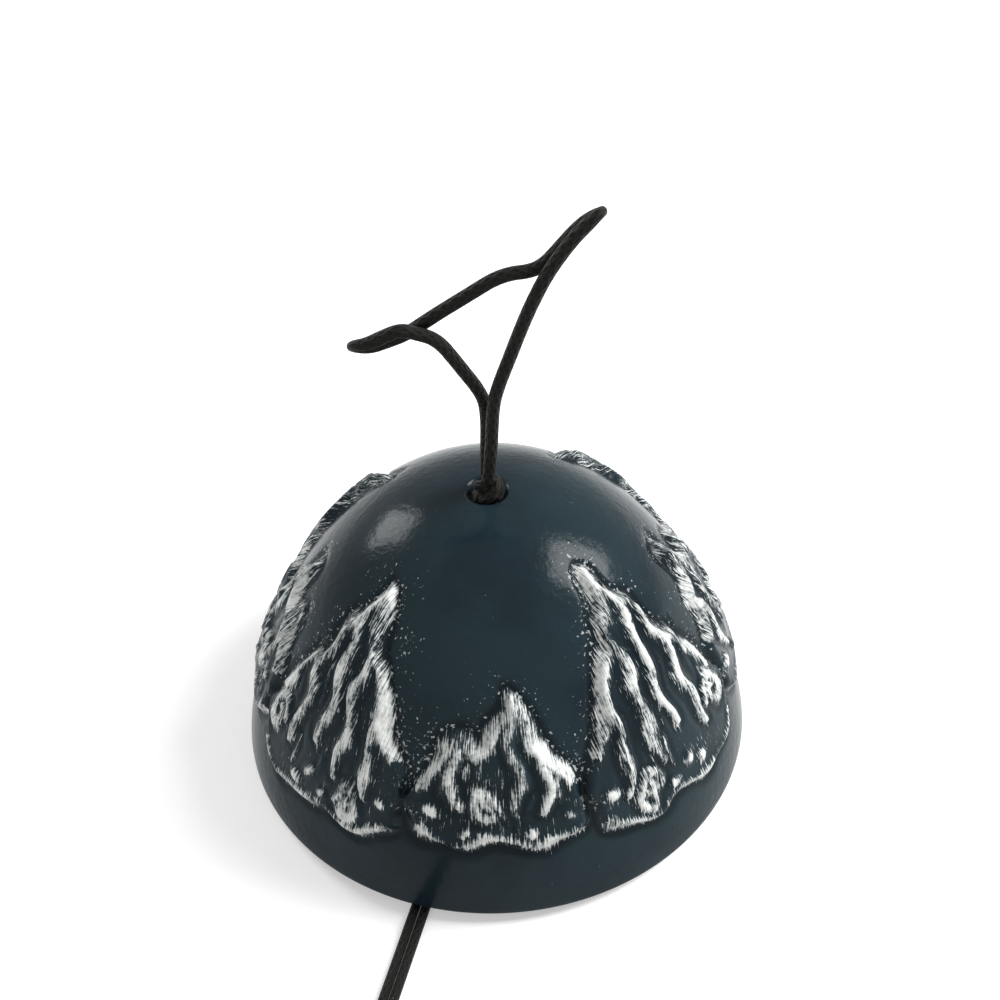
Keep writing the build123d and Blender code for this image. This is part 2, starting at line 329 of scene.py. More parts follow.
def addStripCord(name, node, side):
    beside = runTurn @ Vector((side * runCord["pitch"] / 2, 0, 0))
    points = []
    for along, sideways, height in runCord["route"]:
        points.append(runTurn @ Vector((sideways, -along, height)) + Vector((*runCord["foot"], 0)) + beside)
    knotSide = Vector(knots["stripKnot"]["middle"]) + beside
    points.append(knotSide + (points[-1] - knotSide).normalized() * runCord["knotReach"])
    mesh, line = tubeMesh(name, routeCurve(name, points), runCord["diameter"])
    cord = addPiece(name, mesh, blackCord, "bell", [node])
    print(name, round(lineLength(line) / mm, 1), "mm")


# short strands: through the crown, to the clapper, and from the clapper's knot down to the run
shortStrands = dict(thickness=1.3, apart=0.68, clapperTurns=1.25, pairSteps=12, dropSteps=6, dropBulge=0.1,
                    dropBelow=0.25, dropAbove=0.35)


def strandPoints(low, high, side, turns):
    middle = [(a + b) / 2 / mm for a, b in zip(low, high)]
    points = []
    for step in range(shortStrands["pairSteps"] + 1):
        share = step / shortStrands["pairSteps"]
        turned = 2 * math.pi * turns * share
        points.append((middle[0] + side * shortStrands["apart"] * math.cos(turned),
                       middle[1] + side * shortStrands["apart"] * math.sin(turned),
                       low[2] / mm + share * (high[2] - low[2]) / mm))
    return points


def joinMeshes(name, meshes):
    both = bmesh.new()
    for mesh in meshes:
        both.from_mesh(mesh)
    joined = bpy.data.meshes.new(name)
    both.to_mesh(joined)
    both.free()
    return joined


def addPair(name, node, body, turns):
    low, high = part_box(node)
    curves = [routeCurve(name, strandPoints(low, high, side, turns)) for side in (-1, 1)]
    meshes = [tubeMesh(name, curve, shortStrands["thickness"])[0] for curve in curves]
    return addPiece(name, joinMeshes(name, meshes), blackCord, body, [node])


def addDrop(name, node, side):
    low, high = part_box(node)
    footX, footY = runCord["foot"]
    bottom = low[2] / mm - shortStrands["dropBelow"]
    rise = (high[2] - low[2]) / mm + shortStrands["dropBelow"] + shortStrands["dropAbove"]
    points = []
    for step in range(shortStrands["dropSteps"] + 1):
        share = step / shortStrands["dropSteps"]
        out = shortStrands["apart"] + shortStrands["dropBulge"] * math.sin(math.pi * share)
        place = runTurn @ Vector((side * out, 0, 0))
        points.append((footX + place.x, footY + place.y, bottom + share * rise))
    mesh, _ = tubeMesh(name, routeCurve(name, points), shortStrands["thickness"])
    drop = addPiece(name, mesh, blackCord, None, [node])
    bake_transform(drop)
    return drop


addPair("crownCord", "crown_cord", "bell", 0.0)
addPair("clapperCord", "clapper_cord", "clapper", shortStrands["clapperTurns"])
dropLeft = addDrop("stripDropLeft", "strip_drop_left", -1)
dropRight = addDrop("stripDropRight", "strip_drop_right", 1)

# the small loop that holds the paper strip by its hole
stripLoop = dict(knot=(-25.4, -78.0), heading=9.0, thickness=1.25, route=[
    (0, -1.9, 2.9), (0, -3.4, 3.5), (0, -6.0, 3.75), (0, -9.5, 3.65), (0, -12.6, 3.4), (0, -13.5, 2.3),
    (0, -13.2, 0.85), (0, -11.0, 0.63), (0, -8.0, 0.63), (0, -5.0, 0.66), (0, -3.4, 1.0), (0, -1.9, 1.6)])


def addStripLoop():
    turn = Matrix.Rotation(math.radians(-stripLoop["heading"]), 3, "Z")
    points = [turn @ Vector(place) + Vector((*stripLoop["knot"], 0)) for place in stripLoop["route"]]
    mesh, _ = tubeMesh("stripLoop", routeCurve("stripLoop", points), stripLoop["thickness"])
    return addPiece("stripLoop", mesh, blackCord, "wind_strip", ["strip_loop"])


loopPiece = addStripLoop()
addStripCord("stripCordLeft", "strip_cord_left", -1)
addStripCord("stripCordRight", "strip_cord_right", 1)
print("cords laid")

# bell: spun wall, then the carved band raised on it
bell = dict(lipRadius=38.0, height=43.0, lipWall=3.0, crownWall=3.6, lipRound=0.7,
            lipSteps=(22.5, 45, 67.5, 90), sideShape=2.29, crownShape=1.32, hole=2.1,
            rimEdge=3.3, rings=140, innerRings=14, turns=560, fineSteps=(1500, 600), heading=20.7, lean=1.217,
            rim=[(0, -1.7), (0.15, -1.25), (0.4, -0.78), (0.65, -0.45), (0.85, -0.25), (1.02, -0.13)])


def wallPoint(radius, height, angle):
    return (radius * math.cos(angle) ** (2 / bell["sideShape"]),
            height * math.sin(angle) ** (2 / bell["crownShape"]))


def evenLine(points, count):
    points = np.array(points)
    reached = np.concatenate([[0], np.cumsum(np.hypot(*np.diff(points, axis=0).T))])
    spots = np.linspace(0, reached[-1], count)
    return np.stack([np.interp(spots, reached, points[:, 0]), np.interp(spots, reached, points[:, 1])], 1)


def heightAngle(z, height):
    return math.asin((z / height) ** (bell["crownShape"] / 2))


def radiusAngle(r, radius):
    return math.acos((r / radius) ** (bell["sideShape"] / 2))


def bellProfile():
    radius, height, edge = bell["lipRadius"], bell["height"], bell["lipRound"]
    innerRadius, innerHeight = radius - bell["lipWall"], height - bell["crownWall"]
    outerSteps, innerSteps = bell["fineSteps"]
    outerAngles = np.linspace(radiusAngle(bell["rimEdge"], radius), heightAngle(edge, height), outerSteps)
    innerAngles = np.linspace(heightAngle(edge, innerHeight), radiusAngle(bell["hole"], innerRadius),
                              innerSteps)
    outer = [wallPoint(radius, height, a) for a in outerAngles]
    inner = [wallPoint(innerRadius, innerHeight, a) for a in innerAngles]
    profile = [(bell["hole"] + out, height + up) for out, up in bell["rim"]]  # rounded edge of the hole
    profile += list(evenLine(outer, bell["rings"]))
    lipAngles = [math.radians(step) for step in bell["lipSteps"]]
    profile += [(radius - edge + edge * math.cos(a), edge - edge * math.sin(a)) for a in lipAngles]
    profile += [(innerRadius + edge - edge * math.cos(a), edge - edge * math.sin(a)) for a in lipAngles[::-1]]
    return profile + list(evenLine(inner, bell["innerRings"]))


def spunBell():
    bm = bmesh.new()
    verts = [bm.verts.new((r, 0, z)) for r, z in bellProfile()]
    edges = [bm.edges.new((a, b)) for a, b in zip(verts, verts[1:] + verts[:1])]
    bmesh.ops.spin(bm, geom=verts + edges, cent=(0, 0, 0), axis=(0, 0, 1), angle=2 * math.pi,
                   steps=bell["turns"], use_merge=True)
    bmesh.ops.remove_doubles(bm, verts=bm.verts, dist=1e-4)
    bmesh.ops.recalc_face_normals(bm, faces=bm.faces)
    mesh = bpy.data.meshes.new("bellDome")
    bm.to_mesh(mesh)
    bm.free()
    return mesh


# crags, each line in shares: across its half width from -1 to 1, up from its foot to its top
steepCrag = dict(
    outline=[(-0.97, -0.24), (-0.97, 0.12), (-0.8, 0.2), (-0.62, 0.46), (-0.5, 0.43), (-0.34, 0.76),
             (-0.22, 0.73), (-0.04, 1.0), (0.12, 0.9), (0.38, 0.6), (0.5, 0.62), (0.7, 0.3), (0.97, 0.14),
             (0.97, -0.2), (0.5, -0.36), (0.05, -0.28), (-0.45, -0.4)],
    ribs=[[(-0.31, 0.64), (-0.4, 0.42), (-0.34, 0.2), (-0.44, -0.04)],
          [(-0.05, 0.84), (-0.1, 0.6), (0.02, 0.36), (-0.06, 0.08)],
          [(0.28, 0.62), (0.2, 0.44), (0.3, 0.24), (0.22, -0.02)],
          [(0.6, 0.32), (0.54, 0.12), (0.63, -0.08)]],
    scrolls=[(-0.7, 0.0, 0.15, 1), (0.42, -0.16, 0.13, -1)],  # across, up, size, hand
    pebbles=[(-0.2, -0.2, 0.075), (-0.05, -0.12, 0.06), (0.16, -0.2, 0.07), (0.8, -0.05, 0.07)])
twinCrag = dict(
    outline=[(-0.97, -0.22), (-0.97, 0.14), (-0.82, 0.26), (-0.58, 0.62), (-0.4, 0.72), (-0.18, 0.5),
             (0.04, 0.78), (0.2, 1.0), (0.38, 0.9), (0.5, 0.6), (0.66, 0.5), (0.84, 0.22), (0.97, 0.16),
             (0.97, -0.26), (0.5, -0.4), (0.0, -0.26), (-0.5, -0.38)],
    ribs=[[(-0.44, 0.56), (-0.51, 0.34), (-0.42, 0.08)],
          [(0.24, 0.82), (0.18, 0.56), (0.3, 0.34), (0.22, 0.04)],
          [(0.54, 0.42), (0.6, 0.22), (0.53, -0.02)]],
    scrolls=[(-0.12, 0.06, 0.17, 1)],
    pebbles=[(-0.7, 0.02, 0.08), (-0.3, -0.16, 0.07), (0.34, -0.18, 0.08), (0.8, -0.06, 0.07)])
# degrees round the bell, half width in degrees, foot and top as shares of the way up, form, hand, paint
crags = [
    (-48, 24, 0.36, 0.74, steepCrag, 1, 1.0), (-3, 21, 0.35, 0.58, twinCrag, 1, 1.0),
    (44, 26, 0.36, 0.76, steepCrag, -1, 1.0), (91, 21, 0.35, 0.64, twinCrag, -1, 0.95),
    (138, 26, 0.36, 0.77, steepCrag, 1, 0.72), (185, 21, 0.35, 0.60, twinCrag, 1, 0.85),
    (231, 25, 0.36, 0.76, steepCrag, -1, 0.68), (272, 16, 0.35, 0.62, twinCrag, -1, 0.95)]


def cutCorners(points, closed, times=2):
    points = np.array(points, float)
    for _ in range(times):
        following = np.roll(points, -1, axis=0) if closed else points[1:]
        start = points if closed else points[:-1]
        cut = np.stack([start * 0.75 + following * 0.25, start * 0.25 + following * 0.75], 1).reshape(-1, 2)
        points = cut if closed else np.concatenate([points[:1], cut, points[-1:]])
    return points


def denseLine(points, count, closed=False):
    points = cutCorners(points, closed)
    if closed:
        points = np.concatenate([points, points[:1]])
    return evenLine(points, count)


def smoothShare(value):
    value = np.clip(value, 0, 1)
    return value * value * (3 - 2 * value)


def wrapAngle(value):
    return (value + np.pi) % (2 * np.pi) - np.pi


def hump(distance, middle, width):
    return np.exp(-((distance - middle) / width) ** 2)


# what the graver and the brush do; distances across a line are in mm, or in its widths where they say so
relief = dict(bandHeight=0.9, ribHeight=0.6, rimHeight=0.28, moatDepth=0.3, edgeRamp=1.5, veil=0.2, seed=11,
              sweepStretch=0.085)
wallEdge = dict(outside=0.975, plainRadius=2.3, lipShare=0.9, steps=3000)  # where the carved outside begins
unsteady = dict(sway=0.4, round=26, up=0.5, driftUp=0.75, drift=2, driftRound=9, leastRadius=6)
lineCut = dict(margin=5, reach=1.35, ramp=1.1, moatAt=1.9, moatWidth=0.6, moatShare=0.6,  # in widths
               hairStretch=0.55, paint=1.4, paintFall=0.9, thin=0.5, ends=(0.1, 0.9))
bodyCut = dict(margin=9, rampFrom=0.45, rimAt=0.85, rimWidth=0.75, moatAt=-0.9, moatWidth=0.6,
               paintAt=0.5, paint=1.5, paintFall=0.85, fleckReach=7.0, fleckFrom=0.6)
pebbleCut = dict(margin=4, height=0.5, reach=1.3, ramp=0.9, paint=1.5, radius=34, vary=(0.8, 1.15))
outlineCut = dict(points=260, endsFrom=0.9, endPaint=0.25, paint=0.85, sway=0.15, swayStep=0.13)
ribCut = dict(points=60, width=(0.85, 1.05), paint=(0.75, 1.0))
scrollCut = dict(steps=21, turns=1.3, closing=0.75, flat=0.95, points=90, width=0.8, height=0.45, paint=0.9)
strokeCut = dict(count=9, across=0.75, up=(0.0, 0.5), drop=(0.12, 0.22), lean=0.04, points=16, width=0.42,
                 height=0.18, paint=(0.3, 0.8))


class WallMap:  # where each vertex of the wall is, and what the carving gives it
    def __init__(self, mesh):
        count = len(mesh.vertices)
        spots = np.empty(count * 3)
        mesh.vertices.foreach_get("co", spots)
        self.spots = spots.reshape(-1, 3)
        self.radius = np.hypot(self.spots[:, 0], self.spots[:, 1])
        self.around = np.arctan2(self.spots[:, 0], -self.spots[:, 1])  # zero faces the camera
        height = np.clip(self.spots[:, 2], 0, None)
        side = (self.radius / bell["lipRadius"]) ** bell["sideShape"]
        up = (height / bell["height"]) ** bell["crownShape"]
        self.outer = ((side + up > wallEdge["outside"]) & (self.radius > wallEdge["plainRadius"])
                      & (height > bell["lipRound"] * wallEdge["lipShare"]))
        angles = np.linspace(0, np.pi / 2, wallEdge["steps"])
        table = np.array([wallPoint(bell["lipRadius"], bell["height"], a) for a in angles])
        self.shares = angles / (np.pi / 2)
        self.reaches = np.concatenate([[0], np.cumsum(np.hypot(*np.diff(table, axis=0).T))])
        self.share = np.arctan2(np.sqrt(up), np.sqrt(side)) / (np.pi / 2)
        self.along = self.mmUp(self.share)
        waves = np.sin(unsteady["round"] * self.around + unsteady["up"] * self.along)
        drift = np.sin(unsteady["driftUp"] * self.along
                       + unsteady["drift"] * np.sin(unsteady["driftRound"] * self.around))
        self.drawnAlong = self.along + unsteady["sway"] * waves  # a hand's unsteadiness
        turning = np.maximum(self.radius, unsteady["leastRadius"])
        self.drawnAround = self.around + unsteady["sway"] * drift / turning
        self.band, self.ridge, self.hollow, self.crest, self.fleck = (np.zeros(count) for _ in range(5))

    def mmUp(self, share):
        return np.interp(share, self.shares, self.reaches)

    def raiseTo(self, field, near, values):
        field[near] = np.maximum(field[near], values)

    def nearLine(self, line, margin):
        around, along = np.radians(line[:, 0]), self.mmUp(line[:, 1])
        middle = (around.min() + around.max()) / 2
        half = (around.max() - around.min()) / 2
        beside = np.abs(wrapAngle(self.around - middle)) * self.radius < half * self.radius + margin
        level = (self.along > along.min() - margin) & (self.along < along.max() + margin)
        near = np.where(self.outer & beside & level)[0]
        across = wrapAngle(self.drawnAround[near][:, None] - around[None]) * self.radius[near][:, None]
        lengthways = self.drawnAlong[near][:, None] - along[None]
        return near, across, lengthways

    def raiseLine(self, line, width, height, paint):
        near, across, lengthways = self.nearLine(line, lineCut["margin"])
        taper = lineCut["thin"] + lineCut["thin"] * np.sin(np.pi * np.linspace(*lineCut["ends"], len(line)))
        thick = width * taper[None]
        ratio = (np.hypot(across, lengthways) / thick).min(1)
        brushed = (np.hypot(across, lineCut["hairStretch"] * lengthways) / thick).min(1)
        moat = lineCut["moatShare"] * hump(ratio, lineCut["moatAt"], lineCut["moatWidth"])
        painted = np.clip(lineCut["paint"] - lineCut["paintFall"] * brushed, 0, 1) * paint
        self.raiseTo(self.ridge, near, smoothShare((lineCut["reach"] - ratio) / lineCut["ramp"]) * height)
        self.raiseTo(self.hollow, near, moat)
        self.raiseTo(self.crest, near, painted)

    def raiseBody(self, outline, weights):
        near, across, lengthways = self.nearLine(outline, bodyCut["margin"])
        far = np.hypot(across, lengthways)
        nearest = far.argmin(1)
        depth = far.min(1)
        crossings = np.zeros(len(near), bool)
        for index in range(len(outline) - 1):  # even or odd number of edges above each vertex
            x0, x1 = across[:, index], across[:, index + 1]
            y0, y1 = lengthways[:, index], lengthways[:, index + 1]
            spans = (x0 > 0) != (x1 > 0)
            cut = y0 - x0 * (y1 - y0) / np.where(spans, x1 - x0, 1)
            crossings ^= spans & (cut < 0)
        depth = np.where(crossings, depth, -depth)
        weight = weights[nearest]
        rim = hump(depth, bodyCut["rimAt"], bodyCut["rimWidth"])
        painted = np.clip(bodyCut["paint"] - bodyCut["paintFall"] * np.abs(depth - bodyCut["paintAt"]), 0, 1)
        above = lengthways[np.arange(len(near)), nearest] > 0
        flecked = np.clip(1 + depth / bodyCut["fleckReach"], 0, 1) * (depth < -bodyCut["fleckFrom"]) * above
        self.raiseTo(self.band, near, smoothShare((depth + bodyCut["rampFrom"]) / relief["edgeRamp"]))
        self.raiseTo(self.ridge, near, rim * relief["rimHeight"] * weight)
        self.raiseTo(self.hollow, near, hump(depth, bodyCut["moatAt"], bodyCut["moatWidth"]))
        self.raiseTo(self.crest, near, painted * weight)
        self.raiseTo(self.fleck, near, flecked)

    def raisePebble(self, around, share, size):
        near, across, lengthways = self.nearLine(np.array([[around, share]]), pebbleCut["margin"])
        ratio = np.hypot(across[:, 0], lengthways[:, 0]) / size
        rise = pebbleCut["height"] * smoothShare((pebbleCut["reach"] - ratio) / pebbleCut["ramp"])
        self.raiseTo(self.ridge, near, rise)
        self.raiseTo(self.crest, near, np.clip(pebbleCut["paint"] - ratio, 0, 1))

    def outward(self):
        radius, height = bell["lipRadius"], bell["height"]
        side, crown = bell["sideShape"], bell["crownShape"]
        slopeOut = (side / radius) * (self.radius / radius) ** (side - 1)
        slopeUp = (crown / height) * (np.clip(self.spots[:, 2], 0, None) / height) ** (crown - 1)
        size = np.hypot(slopeOut, slopeUp) + 1e-12
        flat = slopeOut / size / self.radius
        return np.stack([flat * self.spots[:, 0], flat * self.spots[:, 1], slopeUp / size], 1)

    def sweep(self):  # a map drawn out up the wall, for the brush's hairs
        radius = bell["lipRadius"]
        return np.stack([radius * np.sin(self.around), -radius * np.cos(self.around),
                         self.along * relief["sweepStretch"]], 1)


def carveCrag(wall, dice, crag):
    around, half, foot, top, form, hand, paint = crag

    def spot(across, up):
        return (around + hand * across * half, foot + up * (top - foot))

    outline = denseLine([spot(*p) for p in form["outline"]], outlineCut["points"], closed=True)
    ends = np.abs(outline[:, 0] - around) > outlineCut["endsFrom"] * half  # little paint down the gaps
    sway = np.sin(np.arange(outlineCut["points"]) * outlineCut["swayStep"])
    wall.raiseBody(outline, paint * np.where(ends, outlineCut["endPaint"], 1.0)
                   * (outlineCut["paint"] + outlineCut["sway"] * sway))
    for rib in form["ribs"]:
        width = dice.uniform(*ribCut["width"])
        ribPaint = paint * dice.uniform(*ribCut["paint"])
        line = denseLine([spot(*p) for p in rib], ribCut["points"])
        wall.raiseLine(line, width, relief["ribHeight"], ribPaint)
    for across, up, size, turned in form["scrolls"]:
        curl = []
        for step in range(scrollCut["steps"] + 1):
            angle = 2 * math.pi * scrollCut["turns"] * step / scrollCut["steps"]
            wide = size * (1 - scrollCut["closing"] * step / scrollCut["steps"])
            curl.append(spot(across + turned * wide * math.cos(angle),
                             up + scrollCut["flat"] * wide * math.sin(angle)))
        wall.raiseLine(denseLine(curl, scrollCut["points"]), scrollCut["width"], scrollCut["height"],
                       scrollCut["paint"] * paint)
    for across, up, size in form["pebbles"]:
        radius = size * math.radians(half) * pebbleCut["radius"] * dice.uniform(*pebbleCut["vary"])
        wall.raisePebble(*spot(across, up), radius)
    for _ in range(strokeCut["count"]):  # short strokes of the graver on the flanks
        across = dice.uniform(-strokeCut["across"], strokeCut["across"])
        up = dice.uniform(*strokeCut["up"])
        drop = dice.uniform(*strokeCut["drop"])
        lean = dice.uniform(-strokeCut["lean"], strokeCut["lean"])
        strokePaint = paint * dice.uniform(*strokeCut["paint"])
        stroke = denseLine([spot(across, up), spot(across + lean, up - drop)], strokeCut["points"])
        wall.raiseLine(stroke, strokeCut["width"], strokeCut["height"], strokePaint)


def carveBell():
    mesh = spunBell()
    wall = WallMap(mesh)
    dice = random.Random(relief["seed"])
    for crag in crags:
        carveCrag(wall, dice, crag)
    ridge = wall.ridge * wall.band
    wall.crest = np.maximum(wall.crest, relief["veil"] * wall.band)  # a trace of the brush on the flanks
    wall.hollow *= np.clip(1 - 2.0 * ridge / relief["ribHeight"], 0, 1)
    lift = relief["bandHeight"] * wall.band + ridge - relief["moatDepth"] * wall.hollow
    spots = wall.spots + wall.outward() * (lift * wall.outer)[:, None]
    mesh.vertices.foreach_set("co", spots.ravel())
    for name, field in (("crest", wall.crest), ("hollow", wall.hollow), ("fleck", wall.fleck)):
        layer = mesh.attributes.new(name, "FLOAT", "POINT")
        layer.data.foreach_set("value", np.asarray(field * wall.outer, np.float32))
    layer = mesh.attributes.new("sweep", "FLOAT_VECTOR", "POINT")
    layer.data.foreach_set("vector", np.asarray(wall.sweep(), np.float32).ravel())
    return mesh, set(np.where(~wall.outer)[0].tolist())


# navy lacquer with white dry-brushed over the carving, and painted shade darkening its moats; noises are
# scale, detail, roughness
lacquerLook = dict(deep=(0.0078, 0.0162, 0.0218, 1), green=(0.0128, 0.0258, 0.0322, 1),
                   grooveShade=(0.002, 0.004, 0.006, 1), paintLow=(0.36, 0.39, 0.39, 1),
                   paintHigh=(0.80, 0.81, 0.785, 1), hairs=(5.2, 3.0, 0.6), patches=(210.0, 4.0, 0.6),
                   grit=(1900.0, 2.0, 0.6), tint=(60.0, 3.0, 0.5), peel=(900.0, 2.0, 0.5),
                   hairSpread=(-4.3, 2.9, 2.3), wear=(1.1, -0.55), specks=(0.5, -0.25),
                   paintEdge=(0.62, 0.92), paintTone=(0.66, 1.24), fleckShare=0.26, fleckPatch=0.35,
                   fleckEdge=(0.98, 1.06), tintRange=(0.35, 0.65), grooveShadeShare=0.75, grooveRough=0.2,
                   roughness=(0.2, 0.5), paintThick=0.5, bump=0.4, bumpDepth=0.18)
lacquerSurface = dict(coat=0.08, coatRoughness=0.12, gloss=0.055)


def lacquerMaterial():
    look = lacquerLook
    material, steps, shader = newMaterial("navyLacquer")
    place = steps.add("TexCoord").outputs["Object"]
    crest, hollow, fleck = (steps.add("Attribute", attribute_name=name).outputs["Fac"]
                            for name in ("crest", "hollow", "fleck"))
    sweep = steps.add("Attribute", attribute_name="sweep").outputs["Vector"]
    hairs = steps.noise(sweep, *look["hairs"])
    patches, grit, tint, peel = (steps.noise(place, *look[name])
                                 for name in ("patches", "grit", "tint", "peel"))

    bend, slope, base = look["hairSpread"]
    spread = steps.calc("MULTIPLY_ADD", crest, bend, slope)
    thin = steps.calc("MULTIPLY_ADD", spread, crest, base)  # the hairs part where the paint runs out
    dry = steps.calc("MULTIPLY", steps.calc("SUBTRACT", hairs, 0.5), thin)
    worn = steps.calc("MULTIPLY_ADD", patches, *look["wear"])
    specks = steps.calc("MULTIPLY_ADD", grit, *look["specks"])
    brush = steps.calc("ADD", crest, steps.calc("ADD", dry, steps.calc("ADD", worn, specks)))
    painted = steps.smooth(brush, *look["paintEdge"])
    flecks = steps.calc("MULTIPLY_ADD", fleck, look["fleckShare"], grit)
    flecks = steps.calc("MULTIPLY_ADD", patches, look["fleckPatch"], flecks)
    paint = steps.calc("MAXIMUM", painted, steps.smooth(flecks, *look["fleckEdge"]))

    paintTone = steps.mix(steps.smooth(brush, *look["paintTone"]), look["paintLow"], look["paintHigh"])
    lacquer = steps.mix(steps.smooth(tint, *look["tintRange"]), look["deep"], look["green"])
    # painted shade: the lacquer turns near-black in the moats and hollows beside the raised carving
    shaded = steps.mix(steps.calc("MULTIPLY", hollow, look["grooveShadeShare"]), lacquer, look["grooveShade"])
    steps.join(steps.mix(paint, shaded, paintTone), shader.inputs["Base Color"])
    glossy, dull = look["roughness"]
    rough = steps.calc("MULTIPLY_ADD", paint, dull - glossy, glossy)
    steps.join(steps.calc("MULTIPLY_ADD", hollow, look["grooveRough"], rough), shader.inputs["Roughness"])
    height = steps.calc("MULTIPLY_ADD", paint, look["paintThick"], peel)
    steps.bump(shader, height, look["bump"], look["bumpDepth"])
    steps.fix(shader, **lacquerSurface)
    return material


# bare casting, inside the bell and on the clapper
castLook = dict(dark=(0.032, 0.032, 0.031, 1), light=(0.095, 0.09, 0.083, 1), rust=(0.115, 0.066, 0.04, 1),
                grain=(900.0, 5.0, 0.6), stain=(120.0, 4.0, 0.6), grainRange=(0.35, 0.7),
                stainRange=(0.55, 0.75), rustShare=0.5, bump=0.5, bumpDepth=0.2)
castSurface = dict(roughness=0.58, metallic=0.35)


def castMaterial():
    material, steps, shader = newMaterial("bareCasting")
    place = steps.add("TexCoord").outputs["Object"]
    grain = steps.noise(place, *castLook["grain"])
    stain = steps.noise(place, *castLook["stain"])
    tone = steps.mix(steps.smooth(grain, *castLook["grainRange"]), castLook["dark"], castLook["light"])
    rusty = steps.calc("MULTIPLY", steps.smooth(stain, *castLook["stainRange"]), castLook["rustShare"])
    steps.join(steps.mix(rusty, tone, castLook["rust"]), shader.inputs["Base Color"])
    steps.bump(shader, grain, castLook["bump"], castLook["bumpDepth"])
    steps.fix(shader, **castSurface)
    return material


navyLacquer = lacquerMaterial()
bareCasting = castMaterial()


def addBell():
    mesh, inside = carveBell()
    for face in mesh.polygons:
        face.use_smooth = True
    heading = math.radians(bell["heading"])
    foot = Vector((bell["lipRadius"] * math.sin(heading), bell["lipRadius"] * math.cos(heading), 0))
    tip = Matrix.Rotation(math.radians(-bell["lean"]), 4, "X")
    lean = (Matrix.Translation(foot) @ Matrix.Rotation(-heading, 4, "Z") @ tip
            @ Matrix.Rotation(heading, 4, "Z") @ Matrix.Translation(-foot))  # over the cord under its lip
    mesh.transform(Matrix.Scale(mm, 4) @ lean)
    addPiece("bellDome", mesh, navyLacquer, "bell", ["bell_shell", "bell_relief"])
    mesh.materials.append(bareCasting)
    for face in mesh.polygons:
        if all(v in inside for v in face.vertices):
            face.material_index = 1
    print("bell carved,", len(mesh.polygons), "faces")


addBell()

# clapper keeps its own solid, with a cast finish
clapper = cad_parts["clapper"]
clapper.data.materials.clear()
clapper.data.materials.append(bareCasting)

# paper strip, a little arched as paper lies
strip = dict(width=40.0, length=125.0, thickness=0.4, hole=2.0, holeSides=40, holeInset=8.0,
             knot=(-25.4, -78.0), heading=9.0, loopReach=12.95, lift=1.76, fall=0.76, arch=0.7, cuts=30)
paperLook = dict(pale=(0.80, 0.755, 0.655, 1), warm=(0.75, 0.69, 0.58, 1), fibre=(0.60, 0.52, 0.39, 1),
                 cloud=(75.0, 4.0, 0.6), cloudRange=(0.35, 0.7), thread=(1.0, 2.0, 0.5), threadCurl=0.6,
                 threadRange=(0.66, 0.76), fibreShare=0.45, fibreRise=0.8, bump=0.4, bumpDepth=0.2,
                 lays=[(0.35, (1500, 90, 1500)), (-0.6, (1700, 110, 1700)), (1.3, (1600, 100, 1600))])
paperSurface = dict(roughness=0.85, gloss=0.2)


def paperMaterial():
    look = paperLook
    material, steps, shader = newMaterial("washiPaper")
    place = steps.add("TexCoord").outputs["Object"]
    cloud = steps.noise(place, *look["cloud"])
    threads = []
    for turn, scale in look["lays"]:  # long fibres lying three ways
        mapping = steps.add("Mapping", Rotation=(0, 0, turn), Scale=scale)
        steps.join(place, mapping.inputs["Vector"])
        thread = steps.noise(mapping.outputs[0], *look["thread"], Distortion=look["threadCurl"])
        threads.append(steps.smooth(thread, *look["threadRange"]))
    fibres = threads[0]
    for thread in threads[1:]:
        fibres = steps.calc("MAXIMUM", fibres, thread)
    sheet = steps.mix(steps.smooth(cloud, *look["cloudRange"]), look["pale"], look["warm"])
    fibred = steps.mix(steps.calc("MULTIPLY", fibres, look["fibreShare"]), sheet, look["fibre"])
    steps.join(fibred, shader.inputs["Base Color"])
    height = steps.calc("MULTIPLY_ADD", fibres, look["fibreRise"], cloud)
    steps.bump(shader, height, look["bump"], look["bumpDepth"])
    steps.fix(shader, **paperSurface)
    return material


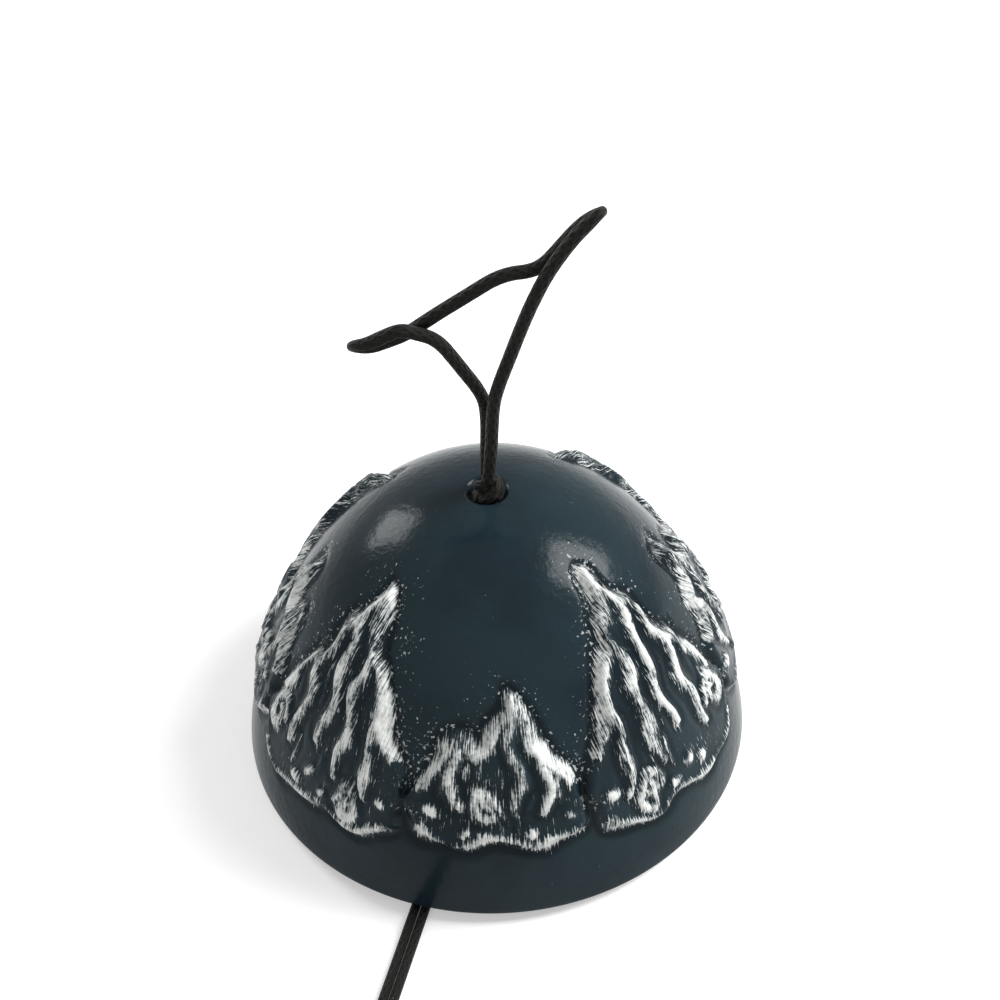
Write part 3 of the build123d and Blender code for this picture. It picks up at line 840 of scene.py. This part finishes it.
def addStrip():
    bm = bmesh.new()
    near, far, half = strip["holeInset"], strip["holeInset"] - strip["length"], strip["width"] / 2
    corners = [bm.verts.new((x, y, 0)) for x, y in ((-half, near), (half, near), (half, far), (-half, far))]
    sides = [bm.edges.new((a, b)) for a, b in zip(corners, corners[1:] + corners[:1])]
    ring = bmesh.ops.create_circle(bm, segments=strip["holeSides"], radius=strip["hole"])["verts"]
    ringEdges = list({edge for v in ring for edge in v.link_edges})
    bmesh.ops.triangle_fill(bm, use_beauty=True, edges=sides + ringEdges)
    for step in range(1, strip["cuts"]):  # cross cuts, so that it can bend
        place = near - strip["length"] * step / strip["cuts"]
        bmesh.ops.bisect_plane(bm, geom=list(bm.verts) + list(bm.edges) + list(bm.faces), dist=1e-5,
                               plane_co=(0, place, 0), plane_no=(0, 1, 0))
    bmesh.ops.recalc_face_normals(bm, faces=bm.faces)
    if sum(face.normal.z for face in bm.faces) > 0:
        bmesh.ops.reverse_faces(bm, faces=bm.faces)
    bmesh.ops.solidify(bm, geom=bm.faces[:], thickness=strip["thickness"])
    top = max(v.co.z for v in bm.verts)
    for v in bm.verts:
        share = (near - v.co.y) / strip["length"]
        v.co.z += strip["thickness"] / 2 - top + strip["arch"] * math.sin(math.pi * share) ** 2
    bmesh.ops.recalc_face_normals(bm, faces=bm.faces)
    mesh = bpy.data.meshes.new("windStrip")
    bm.to_mesh(mesh)
    bm.free()
    turn = Matrix.Rotation(math.radians(-strip["heading"]), 4, "Z")
    fall = Matrix.Rotation(math.radians(strip["fall"]), 4, "X")
    hung = Matrix.Translation((0, -strip["loopReach"], strip["lift"]))
    mesh.transform(Matrix.Scale(mm, 4) @ (Matrix.Translation((*strip["knot"], 0)) @ turn @ hung @ fall))
    piece = addPiece("windStrip", mesh, paperMaterial(), "wind_strip", ["wind_strip"])
    print("strip cut,", len(mesh.polygons), "faces")


addStrip()

# studio: white floor and surround, softboxes where the gloss shows them; the floor is in metres
studio = dict(floorSize=6.0, floorColour=(0.82, 0.82, 0.82, 1), floorGlow=(0.32, 0.78), glowReach=(0.25, 0.9),
              fill=0.34, lampAim=(0, 0, 25))
floorSurface = dict(roughness=0.9, gloss=0.1)
softboxes = [  # where from (round, up, distance), size, watts
    dict(name="rightBox", around=96, up=42, far=620, size=(260, 350), watts=5.2),
    dict(name="leftBox", around=-134, up=30, far=620, size=(190, 230), watts=1.6),
    dict(name="frontBox", around=-20, up=38, far=900, size=(500, 250), watts=1.2, mirrored=False)]
white = (1, 1, 1, 1)


def addFloor():
    bm = bmesh.new()
    bmesh.ops.create_grid(bm, x_segments=4, y_segments=4, size=studio["floorSize"] / 2)
    mesh = bpy.data.meshes.new("studioFloor")
    bm.to_mesh(mesh)
    bm.free()
    material, steps, shader = newMaterial("whiteFloor")
    shader.inputs["Base Color"].default_value = studio["floorColour"]
    shader.inputs["Emission Color"].default_value = white
    steps.fix(shader, **floorSurface)
    seen = steps.whiteRays()
    away = steps.add("VectorMath", operation="LENGTH")
    steps.join(steps.add("TexCoord").outputs["Object"], away.inputs[0])
    glow = steps.smooth(away.outputs["Value"], *studio["glowReach"], *studio["floorGlow"])  # out to white
    steps.join(steps.calc("MULTIPLY", seen, glow), shader.inputs["Emission Strength"])
    mesh.materials.append(material)
    floor = bpy.data.objects.new("studioFloor", mesh)
    scene.collection.objects.link(floor)


def addSurround():
    scene.world = bpy.data.worlds.new("studioSurround")
    steps = NodeSteps(scene.world)
    ground = steps.nodes["Background"]
    ground.inputs["Color"].default_value = white
    seen = steps.whiteRays()
    other = steps.calc("SUBTRACT", 1.0, seen)
    total = steps.calc("MULTIPLY_ADD", other, studio["fill"], seen)
    steps.join(total, ground.inputs["Strength"])


def addSoftboxes():
    target = Vector(studio["lampAim"]) * mm
    for box in softboxes:
        data = bpy.data.lights.new(box["name"], "AREA")
        data.shape = "RECTANGLE"
        data.size, data.size_y = box["size"][0] * mm, box["size"][1] * mm
        data.energy = box["watts"]
        lamp = bpy.data.objects.new(box["name"], data)
        a, e = math.radians(box["around"]), math.radians(box["up"])
        away = Vector((math.sin(a) * math.cos(e), -math.cos(a) * math.cos(e), math.sin(e)))
        turn = away.to_track_quat("Z", "Y").to_matrix().to_4x4()
        lamp.matrix_world = Matrix.Translation(target + away * box["far"] * mm) @ turn
        lamp.visible_glossy = box.get("mirrored", True)
        scene.collection.objects.link(lamp)


addFloor()
addSurround()
addSoftboxes()
print("studio lit")

bpy.context.view_layer.update()
